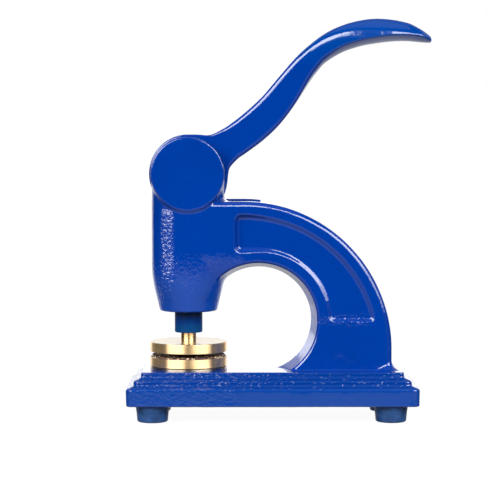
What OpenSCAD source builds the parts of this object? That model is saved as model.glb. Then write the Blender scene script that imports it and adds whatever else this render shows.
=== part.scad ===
// Desk seal embosser: a cast frame with a C-shaped arm, a curved hand lever
// with a cam on its hub, a sprung ram and a pair of round brass dies.
// Millimetres. X runs left to right, Y runs front to back, Z is up.
// The origin is on the desk, under the middle of the whole press.

/* [Base] */
// Length of the base, left to right
base_l = 185.2; // [182:0.2:188]
// Depth of the base, front to back
base_d = 76; // [72:1:90]
// X of the left end of the base
base_left = -98.1; // [-99:0.1:-96]
// Corner radius of the base, seen from above
base_corner_r = 4.5; // [2:0.5:6]
// Height of the base's underside above the desk
base_bottom_z = 10.8; // [9:0.2:12]
// Height of the plain vertical face of the base
base_face_h = 11.9; // [10:0.1:14]
// Height of the top of the base above the desk
base_top_z = 31.7; // [31:0.1:32]
// Wall thickness around the hollow underside
base_wall = 7; // [5:0.5:9]

/* [Arm] */
// Thickness of the arm, front to back
arm_t = 37; // [30:1:40]
// Outer radius of the arch
arch_r = 95.1; // [93:0.1:97]
// Radius of the round throat
throat_r = 34.1; // [31:0.1:36]
// Depth of the recessed panel on each side
panel_depth = 1.5; // [0.5:0.1:3]

/* [Head] */
// X of the ram's axis and of the lever's axle
ram_x = -59.1; // [-60:0.1:-58]
// Radius of the round head
head_r = 23.7; // [22:0.1:25]
// Radius of the nose, at the bottom of the head
nose_r = 18.6; // [16:0.1:20]
// Height of the bottom of the head
nose_z = 68.8; // [66:0.2:70]
// Height of the lever's axle
pivot_z = 157.6; // [156:0.1:160]
// Half of the width over the two cheeks
cheek_y = 25; // [23:0.5:27]
// Radius of the two round cheeks
cheek_r = 23.4; // [21:0.1:23.6]
// Width of the slot between the cheeks
slot_w = 16.8; // [16.4:0.1:18]

/* [Lever] */
// Radius of the round hub
hub_r = 25.2; // [24:0.1:25.4]
// Width of the hub
hub_w = 16; // [14:0.5:16]
// Width of the hand grip at its widest
grip_w = 30; // [24:1:34]
// How far the ram goes down for one radian of lever, in mm
cam_rate = 2.6; // [2:0.1:2.7]
// Angle over which the cam presses, in degrees
cam_angle = 41; // [39:1:45]

/* [Ram and dies] */
// Radius of the ram
ram_r = 9; // [8:0.1:10]
// Height of the lower end of the ram
ram_bottom_z = 54.8; // [53:0.1:57]
// Radius of both dies
die_r = 25; // [23:0.5:27]
// Height of the lower die's top face
lower_die_top_z = 39.2; // [39:0.1:39.4]
// Height of the upper die's lower face
upper_die_bottom_z = 42.6; // [42.6:0.1:44]
// Thickness of the upper die
upper_die_t = 6.3; // [5:0.1:7]
// Radius of the die stem
stem_r = 5; // [4:0.1:5.5]
// Radius of the counter pad
pad_r = 22; // [20:0.5:23]

/* [Axle and spring] */
// Radius of the lever's axle
axle_r = 6; // [5:0.1:6.5]
// Running clearance on a radius
run_gap = 0.05; // [0.02:0.01:0.08]
// Wire radius of the return spring
wire_r = 1.1; // [0.9:0.1:1.1]
// Mean radius of the return spring's coil
coil_r = 11; // [10.9:0.1:11.3]

/* [Feet] */
// Radius of a foot where it meets the base
foot_top_r = 11; // [10:0.1:12]
// Radius of a foot near the desk
foot_bottom_r = 10; // [9:0.1:11]
// Distance from the ends of the base to the feet's centres
foot_in_x = 16.6; // [14:0.1:20]
// Distance of the feet's centres from the middle plane
foot_y = 24; // [22:0.5:25]

/* [Hidden] */

base_cx = base_left + base_l / 2;
face_top_z = base_bottom_z + base_face_h;
// Centre of the arch's outer arc, and of the round throat
arch_c = [-23.4, 44.8];
throat_c = [-13.6, 63.3];
arm_top_z = arch_c[1] + arch_r;
// Inside the head
spring_seat_z = 96;
bore_top_z = 134.5;
spring_bore_r = 13.1;
washer_t = 1.5;
pad_gap = 0.03;
thrust_top_z = pivot_z - hub_r - pad_gap;
flange_top_z = thrust_top_z - 2;
flange_bottom_z = flange_top_z - 6;
slot_clear_r = hub_r + cam_rate * cam_angle * PI / 180 + 0.8;
guide_z = 82;
stem_screw_z = 61;
set_screw_y = 17;
axle_head_y = cheek_y + 3.2;
seat_top_z = 32.8;
boss_z = 18;
boss_top_z = 20;
foot_x = [base_left + foot_in_x, base_left + base_l - foot_in_x];
blue = "#0a47a8";
dark_blue = "#06306e";
brass_col = "#d9b478";
steel_col = "#b9bcc0";
rubber_col = "#1a2438";

// A point on a smooth curve between p1 and p2
function crom(p0, p1, p2, p3, t) =
  0.5 * ((2 * p1) + (p2 - p0) * t + (2 * p0 - 5 * p1 + 4 * p2 - p3) * t * t
  + (3 * p1 - p0 - 3 * p2 + p3) * t * t * t);
// A smooth curve through all points of a list, n steps between two points
function smooth(p, n) = let (m = len(p)) concat(
  [for (i = [0 : m - 2]) for (k = [0 : n - 1])
    crom(p[max(i - 1, 0)], p[i], p[i + 1], p[min(i + 2, m - 1)], k / n)],
  [p[m - 1]]);
function reversed(p) = [for (i = [len(p) - 1 : -1 : 0]) p[i]];

// Upper and lower edge of the lever in side view, X and Z
lever_top = [[-50, 182.5], [-43, 184], [-37.4, 186], [-32.2, 189.3], [-21.8, 197.5], [-11.4, 207.5],
  [-1, 220], [9.4, 232], [19.8, 241.3], [30, 248.4], [40.5, 253.2], [51, 256.1], [61.3, 257.4],
  [71.7, 256.8], [82, 254.8], [87.3, 252.5], [92.5, 249.5], [96, 246.8]];
lever_under = [[-36, 152], [-34.4, 157], [-32.2, 161.5], [-27, 167.2], [-21.8, 170.8], [-11.4, 178.5],
  [-1, 188.3], [9.4, 201.3], [19.8, 217.3], [25, 224.2], [30, 229.4], [40.5, 235.7], [51, 239.2],
  [61.3, 241.2], [71.7, 242.5], [82, 242.8], [92, 242], [96.5, 241.8]];
lever_tip = [[97.6, 245.2], [98.1, 243.8], [97.8, 242.6]];
// Half width of the lever in plan, X and Y
lever_half = [[-62, 8], [-45, 8], [-32, 8], [-24, 8.6], [-10, 10.2], [5, 12.2], [20, 13.8],
  [40, 14.8], [60, 15], [76, 14.6], [87, 13.2], [94, 10.4], [98.1, 5.5]];

// The cam's height over the hub at angle a, and its change per radian
cam_fall = 60;
function cam_s(a) = (a - cam_angle) / cam_fall;
cam_top = cam_rate * cam_angle * PI / 180;
cam_slope = cam_rate * cam_fall * PI / 180;
function cam_h(a) = a < 0 || a > cam_angle + cam_fall ? 0
  : a <= cam_angle ? cam_rate * a * PI / 180
  : let (s = cam_s(a)) cam_top * (2 * pow(s, 3) - 3 * s * s + 1) + cam_slope * (pow(s, 3) - 2 * s * s + s);
function cam_d(a) = a < 0 || a > cam_angle + cam_fall ? 0
  : a <= cam_angle ? cam_rate
  : let (s = cam_s(a)) (cam_top * (6 * s * s - 6 * s) + cam_slope * (3 * s * s - 4 * s + 1)) / (cam_fall * PI / 180);
function cam_point(a, h, d) = let (p = hub_r + h, f = a - 90)
  [p * cos(f) - d * sin(f), p * sin(f) + d * cos(f)];
cam_outline = concat([cam_point(0, 0, 0)],
  [for (a = [0 : 1.5 : 360 - 1.5]) cam_point(a, cam_h(a), cam_d(a))]);

// Rings along the spring's wire: closed end turns and open turns between
spring_turns = 7;
spring_z0 = spring_seat_z + washer_t + wire_r + 0.02;
spring_z1 = flange_bottom_z - wire_r - 0.02;
end_pitch = 2 * wire_r + 0.12;
open_pitch = (spring_z1 - spring_z0 - 2 * end_pitch) / (spring_turns - 2);
function coil_z(t) = spring_z0 + (t <= 1 ? t * end_pitch
  : t >= spring_turns - 1 ? end_pitch + (spring_turns - 2) * open_pitch + (t - spring_turns + 1) * end_pitch
  : end_pitch + (t - 1) * open_pitch);
coil_steps = 22;
coil_sides = 8;
coil_n = spring_turns * coil_steps;
coil_points = [for (i = [0 : coil_n]) let (t = i / coil_steps, a = 360 * t)
  for (k = [0 : coil_sides - 1]) let (b = 360 * k / coil_sides)
    [ram_x + (coil_r + wire_r * cos(b)) * cos(a), (coil_r + wire_r * cos(b)) * sin(a), coil_z(t) + wire_r * sin(b)]];
coil_faces = concat([[for (k = [0 : coil_sides - 1]) k]],
  [for (i = [0 : coil_n - 1]) for (k = [0 : coil_sides - 1]) let (m = (k + 1) % coil_sides)
    [i * coil_sides + k, (i + 1) * coil_sides + k, (i + 1) * coil_sides + m]],
  [for (i = [0 : coil_n - 1]) for (k = [0 : coil_sides - 1]) let (m = (k + 1) % coil_sides)
    [i * coil_sides + k, (i + 1) * coil_sides + m, i * coil_sides + m]],
  [[for (k = [coil_sides - 1 : -1 : 0]) coil_n * coil_sides + k]]);

// A block with rounded vertical corners, centred on X and Y, from z0 to z1
module rounded_block(l, d, r, z0, z1) {
  translate([-l / 2 + r, -d / 2, z0]) cube([l - 2 * r, d, z1 - z0]);
  translate([-l / 2, -d / 2 + r, z0]) cube([l, d - 2 * r, z1 - z0]);
  for (x = [-1, 1], y = [-1, 1])
    translate([x * (l / 2 - r), y * (d / 2 - r), z0]) cylinder(h = z1 - z0, r = r, $fn = 48);
}

// A cylinder along Y from y0 to y1
module y_rod(r, y0, y1, fn = 64) {
  translate([0, y0, 0]) rotate([-90, 0, 0]) cylinder(h = y1 - y0, r = r, $fn = fn);
}

// A disc with small chamfers on both rims
module turned_disc(r, z0, z1, c) {
  rotate_extrude($fn = 120) polygon([[0, z0], [r - c, z0], [r, z0 + c], [r, z1 - c], [r - c, z1], [0, z1]]);
}

// Plain block, then two stepped mouldings up to the flat top
module base_block() {
  steps = [[0, base_bottom_z, face_top_z], [3.4, face_top_z, face_top_z + 1.2],
    [4.8, face_top_z + 1.2, face_top_z + 4.8], [7.4, face_top_z + 4.8, face_top_z + 5.9],
    [9.5, face_top_z + 5.9, base_top_z]];
  translate([base_cx, 0, 0]) for (s = steps)
    rounded_block(base_l - 2 * s[0], base_d - 2 * s[0], max(base_corner_r - s[0] * 0.2, 1), s[1], s[2]);
}

// Hollow underside, with bosses for the screws and one cross rib
module base_hollow() {
  difference() {
    translate([base_cx, 0, 0])
      rounded_block(base_l - 2 * base_wall, base_d - 2 * base_wall, 3, base_bottom_z - 1, boss_top_z);
    for (x = foot_x, y = [-foot_y, foot_y])
      translate([x, y, base_bottom_z - 2]) cylinder(h = boss_top_z, r = 10, $fn = 64);
    translate([ram_x, 0, boss_z]) cylinder(h = 10, r = 9, $fn = 64);
    translate([-3, -base_d / 2, base_bottom_z + 1]) cube([6, base_d, 20]);
  }
}

// Side view of the arm: quarter arch, upright at the right, web at the head
module arm_side(bottom, left) {
  difference() {
    union() {
      intersection() {
        translate(arch_c) circle(r = arch_r, $fn = 240);
        translate(arch_c) square([arch_r + 10, arch_r + 10]);
      }
      translate([arch_c[0], base_top_z - 4]) square([arch_r, arch_c[1] - base_top_z + 4]);
      translate([left, bottom]) square([arch_c[0] - left, arm_top_z - bottom]);
    }
    translate(throat_c) circle(r = throat_r, $fn = 180);
  }
}

module arm() {
  rotate([90, 0, 0]) linear_extrude(height = arm_t, center = true) arm_side(96, ram_x);
  rotate([90, 0, 0]) linear_extrude(height = arm_t * 0.8, center = true) arm_side(88, ram_x);
  rotate([90, 0, 0]) linear_extrude(height = arm_t * 0.55, center = true) arm_side(80, ram_x);
}

// Side view of the recessed panel
module panel_side() {
  difference() {
    intersection() {
      translate(arch_c) circle(r = arch_r - 9.4, $fn = 240);
      translate([-27.7, 63.7]) square([100, 100]);
    }
    translate(throat_c) circle(r = throat_r + 11.3, $fn = 180);
    translate([-40, 50]) square([41, 57.5]);
  }
}

module panel_cut(side) {
  translate([0, side * (arm_t / 2 - panel_depth), 0]) rotate([90, 0, 0])
    translate([0, 0, side > 0 ? -10 : 0]) linear_extrude(height = 10) panel_side();
}

// Round head with a tapered nose, two cheeks and the guide screw's boss
module head() {
  translate([ram_x, 0, 0]) {
    rotate_extrude($fn = 120) polygon([[0, nose_z], [nose_r - 1, nose_z], [nose_r, nose_z + 1],
      [head_r - 0.5, nose_z + 20.5], [head_r, nose_z + 23.5], [head_r, pivot_z - 4],
      [head_r - 0.6, pivot_z - 1], [0, pivot_z - 1]]);
    translate([0, 0, pivot_z]) rotate([90, 0, 0]) rotate_extrude($fn = 120)
      polygon([[0, -cheek_y], [cheek_r - 0.7, -cheek_y], [cheek_r, -cheek_y + 0.7],
        [cheek_r, cheek_y - 0.7], [cheek_r - 0.7, cheek_y], [0, cheek_y]]);
    translate([0, 0, guide_z]) y_rod(8.2, 12, 23.5);
  }
}

// Side view of the slot between the cheeks
module slot_side() {
  translate([ram_x, pivot_z]) circle(r = slot_clear_r, $fn = 180);
  translate([ram_x - 40, pivot_z - 9]) square([80, 60]);
}

module frame_casting() {
  color(blue) difference() {
    union() {
      base_block();
      arm();
      head();
    }
    base_hollow();
    panel_cut(-1);
    panel_cut(1);
    rotate([90, 0, 0]) linear_extrude(height = slot_w, center = true) slot_side();
    translate([ram_x, 0, nose_z - 5]) cylinder(h = spring_seat_z - nose_z + 10, r = ram_r + run_gap, $fn = 96);
    translate([ram_x, 0, spring_seat_z]) cylinder(h = bore_top_z - spring_seat_z, r = spring_bore_r, $fn = 96);
    translate([ram_x, 0, pivot_z]) y_rod(axle_r, -20, cheek_y + 1, 96);
    translate([ram_x - 30, set_screw_y, pivot_z]) rotate([0, 90, 0]) cylinder(h = 26, r = 2.5, $fn = 48);
    translate([ram_x, 0, guide_z]) y_rod(3, 5, 25, 48);
    translate([ram_x, 0, boss_z - 1]) cylinder(h = 20, r = 3.2, $fn = 48);
    for (x = [-14, 14]) translate([ram_x + x, 0, 25]) cylinder(h = 10, r = 1.5, $fn = 32);
    for (x = foot_x, y = [-foot_y, foot_y])
      translate([x, y, base_bottom_z - 1]) cylinder(h = 10.2, r = 2.5, $fn = 48);
  }
}

module lever() {
  color(blue) difference() {
    union() {
      translate([ram_x, 0, pivot_z]) rotate([90, 0, 0])
        linear_extrude(height = hub_w, center = true) polygon(cam_outline);
      intersection() {
        rotate([90, 0, 0]) linear_extrude(height = grip_w + 10, center = true)
          polygon(concat([[-50, 160]], smooth(lever_top, 4), lever_tip, reversed(smooth(lever_under, 4))));
        translate([0, 0, 100]) linear_extrude(height = 200) let (s = smooth(lever_half, 3), k = grip_w / 30)
          polygon(concat([for (p = s) [p[0], -min(p[1], max(8, p[1] * k))]],
            reversed([for (p = s) [p[0], min(p[1], max(8, p[1] * k))]])));
      }
    }
    translate([ram_x, 0, pivot_z]) y_rod(axle_r + 2, -20, 20, 96);
  }
}

module lever_bush() {
  color("#b98a4a") translate([ram_x, 0, pivot_z]) difference() {
    y_rod(axle_r + 2, -hub_w / 2, hub_w / 2, 96);
    y_rod(axle_r + run_gap, -hub_w, hub_w, 96);
  }
}

module pivot_axle() {
  color(steel_col) translate([ram_x, 0, pivot_z]) difference() {
    union() {
      y_rod(axle_r, -19, cheek_y, 96);
      translate([0, -19.8, 0]) rotate([-90, 0, 0]) cylinder(h = 0.8, r1 = axle_r - 0.8, r2 = axle_r, $fn = 96);
      y_rod(9.5, cheek_y, axle_head_y - 0.6, 96);
      translate([0, axle_head_y - 0.6, 0]) rotate([-90, 0, 0]) cylinder(h = 0.6, r1 = 9.5, r2 = 8.9, $fn = 96);
    }
    translate([-15, axle_head_y - 1.4, -0.9]) cube([30, 5, 1.8]);
  }
}

module axle_set_screw() {
  color("#2b2d31") translate([ram_x - 22.4, set_screw_y, pivot_z]) rotate([0, 90, 0]) difference() {
    cylinder(h = 16.4, r = 2.5, $fn = 48);
    translate([0, 0, -1]) cylinder(h = 3.6, r = 1.45, $fn = 6);
  }
}

module ram() {
  color(dark_blue) translate([ram_x, 0, 0]) difference() {
    union() {
      rotate_extrude($fn = 96) polygon([[0, ram_bottom_z], [ram_r - 0.6, ram_bottom_z], [ram_r, ram_bottom_z + 0.9],
        [ram_r, flange_bottom_z], [0, flange_bottom_z]]);
      translate([0, 0, flange_bottom_z]) cylinder(h = 6, r = spring_bore_r - 0.1, $fn = 96);
    }
    translate([0, 0, ram_bottom_z - 1]) cylinder(h = 19, r = stem_r, $fn = 64);
    translate([0, 0, flange_top_z - 8]) cylinder(h = 9, r = 3, $fn = 48);
    translate([-2.1, ram_r - 2, guide_z - 10]) cube([4.2, 5, 20]);
    translate([0, 0, stem_screw_z]) y_rod(2.5, 3, ram_r + 1, 48);
  }
}

module thrust_pad() {
  color(steel_col) translate([ram_x, 0, 0]) {
    turned_disc(9, flange_top_z, thrust_top_z, 0.4);
    translate([0, 0, flange_top_z - 7.6]) cylinder(h = 8, r = 3, $fn = 48);
  }
}

module return_spring() {
  color(steel_col) polyhedron(points = coil_points, faces = coil_faces, convexity = 10);
}

module spring_washer() {
  color(steel_col) translate([ram_x, 0, spring_seat_z]) difference() {
    cylinder(h = washer_t, r = spring_bore_r - 0.2, $fn = 96);
    translate([0, 0, -1]) cylinder(h = 5, r = ram_r + 0.3, $fn = 96);
  }
}

module ram_guide_screw() {
  color(steel_col) translate([ram_x, 0, guide_z]) difference() {
    union() {
      y_rod(3, ram_r + 0.3, 30.4, 48);
      translate([0, 30.4, 0]) rotate([-90, 0, 0]) cylinder(h = 0.6, r1 = 3, r2 = 2.4, $fn = 48);
      y_rod(2, ram_r - 1.75, ram_r + 0.4, 48);
    }
    translate([-5, 29.6, -0.5]) cube([10, 5, 1]);
  }
}

module guide_locknut() {
  color(steel_col) translate([ram_x, 0, guide_z]) difference() {
    intersection() {
      y_rod(5.77, 23.5, 28.3, 6);
      translate([0, 23.5, 0]) rotate([-90, 0, 0]) cylinder(h = 4.8, r1 = 7.6, r2 = 5.2, $fn = 96);
    }
    y_rod(3, 20, 30, 48);
  }
}

module die_stem() {
  color(brass_col) translate([ram_x, 0, 0]) difference() {
    union() {
      translate([0, 0, upper_die_bottom_z + upper_die_t]) cylinder(h = 72.8 - upper_die_bottom_z - upper_die_t, r = stem_r, $fn = 64);
      translate([0, 0, upper_die_bottom_z + upper_die_t - 4]) cylinder(h = 5, r = 3, $fn = 48);
    }
    translate([-6, stem_r - 0.5, stem_screw_z - 4]) cube([12, 5, 8]);
  }
}

module stem_set_screw() {
  color("#2b2d31") translate([ram_x, 0, stem_screw_z]) difference() {
    y_rod(2.5, stem_r - 0.5, ram_r - 0.4, 48);
    y_rod(1.45, ram_r - 2.8, ram_r + 1, 6);
  }
}

// Ring groove and twelve-pointed figure, sunk into the working face
module die_design(r, n) {
  difference() {
    circle(r = r * 0.92, $fn = 96);
    circle(r = r * 0.84, $fn = 96);
  }
  polygon([for (i = [0 : 2 * n - 1]) let (a = 180 * i / n, q = i % 2 == 0 ? r * 0.62 : r * 0.36) [q * cos(a), q * sin(a)]]);
}

module upper_die() {
  color(brass_col) translate([ram_x, 0, 0]) difference() {
    turned_disc(die_r, upper_die_bottom_z, upper_die_bottom_z + upper_die_t, 0.4);
    translate([0, 0, upper_die_bottom_z - 1]) linear_extrude(height = 1.6) die_design(pad_r, 12);
    translate([0, 0, upper_die_bottom_z + upper_die_t - 4]) cylinder(h = 5, r = 3, $fn = 48);
  }
}

module counter_pad() {
  color("#4a3222") translate([ram_x, 0, 0]) {
    translate([0, 0, lower_die_top_z]) cylinder(h = 1.1, r = pad_r, $fn = 96);
    translate([0, 0, lower_die_top_z + 1]) linear_extrude(height = 0.6) die_design(pad_r, 12);
  }
}

module lower_die() {
  color(brass_col) translate([ram_x, 0, 0]) difference() {
    turned_disc(die_r, seat_top_z, lower_die_top_z, 0.4);
    translate([0, 0, seat_top_z - 1]) cylinder(h = 6, r = 3, $fn = 48);
    for (x = [-14, 14]) translate([x, 0, seat_top_z - 1]) cylinder(h = 5.2, r = 1.5, $fn = 32);
  }
}

module lower_die_seat() {
  color("#c9a468") translate([ram_x, 0, base_top_z]) difference() {
    cylinder(h = seat_top_z - base_top_z, r = die_r - 0.4, $fn = 120);
    translate([0, 0, -1]) cylinder(h = 5, r = 3.2, $fn = 48);
    for (x = [-14, 14]) translate([x, 0, -1]) cylinder(h = 5, r = 1.5, $fn = 32);
  }
}

module lower_die_screw() {
  color("#2b2d31") translate([ram_x, 0, 0]) difference() {
    union() {
      translate([0, 0, boss_z - 6.2]) cylinder(h = 5, r = 5, $fn = 64);
      translate([0, 0, boss_z - 1.3]) cylinder(h = seat_top_z + 4.7 - boss_z + 1.3, r = 3, $fn = 48);
    }
    translate([0, 0, boss_z - 7]) cylinder(h = 3.8, r = 2.9, $fn = 6);
  }
}

module die_screw_washer() {
  color(steel_col) translate([ram_x, 0, boss_z - 1.2]) difference() {
    cylinder(h = 1.2, r = 6.5, $fn = 64);
    translate([0, 0, -1]) cylinder(h = 4, r = 3.2, $fn = 48);
  }
}

module die_locating_pins() {
  color(steel_col) for (x = [-14, 14])
    translate([ram_x + x, 0, 25]) cylinder(h = 11.6, r = 1.5, $fn = 32);
}

// Tapered rubber foot with a pocket for the screw's head
module foot(i, j) {
  color(rubber_col) translate([foot_x[i], j * foot_y, 0]) rotate_extrude($fn = 96)
    polygon([[5.8, 0], [foot_bottom_r - 1, 0], [foot_bottom_r, 1], [foot_top_r, base_bottom_z],
      [2.6, base_bottom_z], [2.6, 4.5], [5.8, 4.5]]);
}

module foot_front_left() { foot(0, -1); }
module foot_front_right() { foot(1, -1); }
module foot_rear_left() { foot(0, 1); }
module foot_rear_right() { foot(1, 1); }

module foot_screws() {
  color(steel_col) for (x = foot_x, y = [-foot_y, foot_y]) translate([x, y, 0]) difference() {
    union() {
      translate([0, 0, 1.6]) cylinder(h = 0.6, r1 = 3.9, r2 = 4.5, $fn = 64);
      translate([0, 0, 2.2]) cylinder(h = 1.3, r = 4.5, $fn = 64);
      translate([0, 0, 3.4]) cylinder(h = 15.6, r = 2.5, $fn = 48);
    }
    translate([-2.6, -0.5, 1]) cube([5.2, 1, 1.9]);
    translate([-0.5, -2.6, 1]) cube([1, 5.2, 1.9]);
  }
}

module foot_washers() {
  color(steel_col) for (x = foot_x, y = [-foot_y, foot_y]) translate([x, y, 3.5]) difference() {
    cylinder(h = 1, r = 5.4, $fn = 64);
    translate([0, 0, -1]) cylinder(h = 4, r = 2.6, $fn = 48);
  }
}

frame_casting();
lever();
lever_bush();
pivot_axle();
axle_set_screw();
ram();
thrust_pad();
return_spring();
spring_washer();
ram_guide_screw();
guide_locknut();
die_stem();
stem_set_screw();
upper_die();
counter_pad();
lower_die();
lower_die_seat();
lower_die_screw();
die_screw_washer();
die_locating_pins();
foot_front_left();
foot_front_right();
foot_rear_left();
foot_rear_right();
foot_screws();
foot_washers();
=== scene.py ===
import math

import bpy
import numpy as np
from mathutils import Matrix, Vector


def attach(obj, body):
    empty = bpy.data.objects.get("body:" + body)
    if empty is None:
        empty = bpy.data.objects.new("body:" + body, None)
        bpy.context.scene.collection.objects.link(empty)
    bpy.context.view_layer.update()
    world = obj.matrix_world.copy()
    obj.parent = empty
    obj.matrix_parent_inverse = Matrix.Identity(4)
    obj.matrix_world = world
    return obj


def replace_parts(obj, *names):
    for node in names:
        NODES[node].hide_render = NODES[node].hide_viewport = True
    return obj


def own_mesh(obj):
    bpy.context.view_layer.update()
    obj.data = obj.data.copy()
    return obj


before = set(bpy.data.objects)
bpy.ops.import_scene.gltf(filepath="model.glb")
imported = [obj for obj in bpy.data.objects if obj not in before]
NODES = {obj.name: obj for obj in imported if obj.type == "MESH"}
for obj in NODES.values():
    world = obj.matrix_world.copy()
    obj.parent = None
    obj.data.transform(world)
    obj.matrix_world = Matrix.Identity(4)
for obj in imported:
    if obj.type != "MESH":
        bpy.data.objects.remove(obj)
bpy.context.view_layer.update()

# ---------------------------------------------------------------- numbers shared with the CAD model, in mm
RX, PZ = -59.1, 157.6            # axis of the head and ram, height of the lever's axle
BCX, BHX, BHY = -5.05, 93.05, 38.0  # base: centre in X, half length, half depth
FOOT_X, FOOT_Y = (-81.5, 70.5), 24.0


# ---------------------------------------------------------------- distance fields
def rmax(a, b, r):
    """Both inside a and inside b, with the edge rounded by r."""
    return np.minimum(-r, np.maximum(a, b)) + np.hypot(np.maximum(a + r, 0), np.maximum(b + r, 0))


def rmin(a, b, r):
    """Inside a or inside b, with the inner corner filled by a fillet of r."""
    return np.maximum(r, np.minimum(a, b)) - np.hypot(np.maximum(r - a, 0), np.maximum(r - b, 0))


def smax(a, b, k):
    h = np.maximum(k - np.abs(a - b), 0) / k
    return np.maximum(a, b) + h * h * k * 0.25


def smin(a, b, k):
    return -smax(-a, -b, k)


def cut(a, b, r):
    """a with b taken away, the new edge rounded by r."""
    return rmax(a, -b, r)


def sstep(t, a, b):
    t = np.clip((t - a) / (b - a), 0, 1)
    return t * t * (3 - 2 * t)


def rect(px, py, hx, hy, r):
    qx, qy = np.abs(px) - (hx - r), np.abs(py) - (hy - r)
    return np.hypot(np.maximum(qx, 0), np.maximum(qy, 0)) + np.minimum(np.maximum(qx, qy), 0) - r


def lattice(seed):
    return np.random.RandomState(seed).uniform(-1, 1, (32, 32, 32))


def noise(x, y, z, size, seed, _tabs={}):
    """Smooth noise from -1 to 1, whose lumps are about size mm across."""
    if seed not in _tabs:
        _tabs[seed] = lattice(seed)
    tab = _tabs[seed]
    x, y, z = np.broadcast_arrays(x, y, z)
    out = 0
    q = [np.asarray(v, float) / size + 100.0 for v in (x, y, z)]
    i = [np.floor(v).astype(np.int64) for v in q]
    f = [v - w for v, w in zip(q, i)]
    f = [v * v * (3 - 2 * v) for v in f]
    for a in (0, 1):
        for b in (0, 1):
            for c in (0, 1):
                w = (f[0] if a else 1 - f[0]) * (f[1] if b else 1 - f[1]) * (f[2] if c else 1 - f[2])
                out = out + w * tab[(i[0] + a) & 31, (i[1] + b) & 31, (i[2] + c) & 31]
    return out


# ---------------------------------------------------------------- surfaces from distance fields
def surface_net(F, lo, hi, h):
    lo = np.array(lo, float)
    n = [int(math.ceil((b - a) / h)) + 1 for a, b in zip(lo, hi)]
    xs, ys, zs = [(lo[k] + h * np.arange(n[k])).astype(np.float32) for k in range(3)]
    V = np.empty(n, np.float32)
    for i in range(0, n[0], 24):
        V[i:i + 24] = F(xs[i:i + 24, None, None], ys[None, :, None], zs[None, None, :])
    S = V < 0
    count = np.zeros([k - 1 for k in n], np.int8)
    offsets = [(a, b, c) for a in (0, 1) for b in (0, 1) for c in (0, 1)]
    for a, b, c in offsets:
        count += S[a:n[0] - 1 + a, b:n[1] - 1 + b, c:n[2] - 1 + c]
    active = (count > 0) & (count < 8)
    ijk = np.argwhere(active)
    index = np.full(active.shape, -1, np.int32)
    index[active] = np.arange(len(ijk))
    corner = {o: V[ijk[:, 0] + o[0], ijk[:, 1] + o[1], ijk[:, 2] + o[2]].astype(float) for o in offsets}
    P, C = np.zeros((len(ijk), 3)), np.zeros(len(ijk))
    for o in offsets:
        for k in range(3):
            if o[k] == 0:
                e = tuple(1 if m == k else o[m] for m in range(3))
                v0, v1 = corner[o], corner[e]
                hit = (v0 < 0) != (v1 < 0)
                t = np.where(hit, v0 / np.where(hit, v0 - v1, 1), 0)
                p = np.array(o, float)[None, :] + t[:, None] * (np.array(e) - np.array(o))[None, :]
                P += np.where(hit[:, None], p, 0)
                C += hit
    verts = lo + h * (ijk + P / C[:, None])
    quads = []
    for k in range(3):
        u, v = (k + 1) % 3, (k + 2) % 3
        a, b = [slice(1, -1)] * 3, [slice(1, -1)] * 3
        a[k], b[k] = slice(0, -1), slice(1, None)
        s0, s1 = S[tuple(a)], S[tuple(b)]
        e = np.argwhere(s0 != s1)
        inside_low = s0[e[:, 0], e[:, 1], e[:, 2]]
        for m in range(3):
            if m != k:
                e[:, m] += 1

        def cell(du, dv):
            c = e.copy()
            c[:, u] += du
            c[:, v] += dv
            return index[c[:, 0], c[:, 1], c[:, 2]]
        q = np.stack([cell(-1, -1), cell(0, -1), cell(0, 0), cell(-1, 0)], 1)
        q[~inside_low] = q[~inside_low][:, ::-1]
        quads.append(q)
    return verts, np.concatenate(quads)


def gradient(F, P, eps=0.03):
    x, y, z = P.T
    return np.stack([F(x + eps, y, z) - F(x - eps, y, z), F(x, y + eps, z) - F(x, y - eps, z),
                     F(x, y, z + eps) - F(x, y, z - eps)], 1) / (2 * eps)


def project(F, P, times, most):
    P = P.copy()
    for _ in range(times):
        f = F(*P.T)
        g = gradient(F, P)
        step = f / np.maximum((g * g).sum(1), 0.05)
        P -= np.clip(step, -most, most)[:, None] * g
    return P


def normals_of(F, P):
    g = gradient(F, P, 0.05)
    return g / np.maximum(np.linalg.norm(g, axis=1), 1e-6)[:, None]


def make_mesh(name, P, faces, N=None, material=None):
    """P in mm. faces is an (m, 4) array, or a list of index lists."""
    me = bpy.data.meshes.new(name)
    if isinstance(faces, np.ndarray):
        loops, counts = faces.ravel(), np.full(len(faces), faces.shape[1])
    else:
        loops = np.array([i for f in faces for i in f])
        counts = np.array([len(f) for f in faces])
    me.vertices.add(len(P))
    me.vertices.foreach_set("co", (np.asarray(P) / 1000.0).astype(np.float32).ravel())
    me.loops.add(len(loops))
    me.loops.foreach_set("vertex_index", loops.astype(np.int32))
    me.polygons.add(len(counts))
    me.polygons.foreach_set("loop_start", np.concatenate([[0], np.cumsum(counts)[:-1]]).astype(np.int32))
    me.update(calc_edges=True)
    me.polygons.foreach_set("use_smooth", np.ones(len(counts), bool))
    if N is not None:
        me.normals_split_custom_set_from_vertices(np.asarray(N, np.float32))
    me.validate()
    ob = bpy.data.objects.new(name, me)
    bpy.context.scene.collection.objects.link(ob)
    if material is not None:
        me.materials.append(material)
    return ob


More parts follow.
